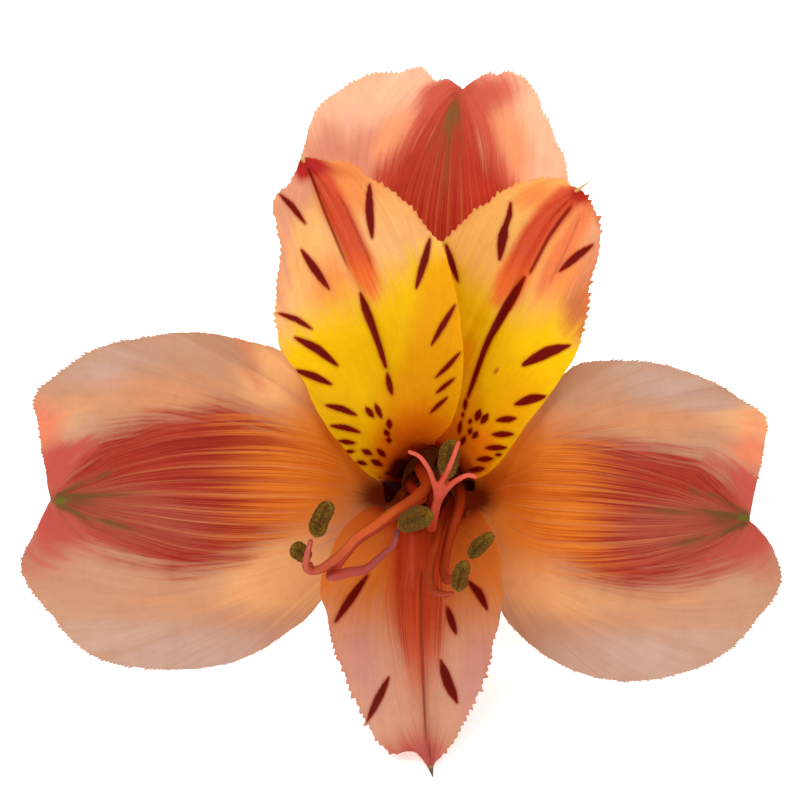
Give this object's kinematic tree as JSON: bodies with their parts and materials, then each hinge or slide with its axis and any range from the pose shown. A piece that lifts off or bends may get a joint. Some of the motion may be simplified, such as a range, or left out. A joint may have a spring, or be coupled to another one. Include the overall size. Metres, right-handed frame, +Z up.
{
  "type": "alstroemeria floret with cut stalk",
  "caption": "Open lily-like bloom with broad outer and narrow streaked inner tepals, stamens, split style, ribbed ovary and a short cut stalk, lying on a surface.",
  "frame": {"origin": "on the surface it lies on, under the middle of its bounding box", "axes": "+Z up; the face of the flower looks towards -Y and up, and the cut stalk runs back along +Y"},
  "size_m": [0.0693, 0.1016, 0.0497],
  "materials": {
    "outer_tepal": "satin, thin and translucent",
    "inner_tepal_streaked": "satin, thin and translucent",
    "inner_tepal_lower": "satin, thin and translucent",
    "filament": "smooth, moist",
    "anther": "powdery, granular",
    "stigma": "smooth, moist",
    "ovary": "satin, ribbed",
    "stalk": "satin"
  },
  "bodies": {
    "root": {"outer_tepal_top": "outer_tepal", "outer_tepal_left": "outer_tepal", "outer_tepal_right": "outer_tepal", "inner_tepal_upper_left": "inner_tepal_streaked", "inner_tepal_upper_right": "inner_tepal_streaked", "inner_tepal_lower": "inner_tepal_lower", "filament_1": "filament", "filament_2": "filament", "filament_3": "filament", "filament_4": "filament", "filament_5": "filament", "filament_6": "filament", "anther_1": "anther", "anther_2": "anther", "anther_3": "anther", "anther_4": "anther", "anther_5": "anther", "anther_6": "anther", "style": "stigma", "ovary": "ovary", "pedicel": "stalk"}
  },
  "joints": []
}
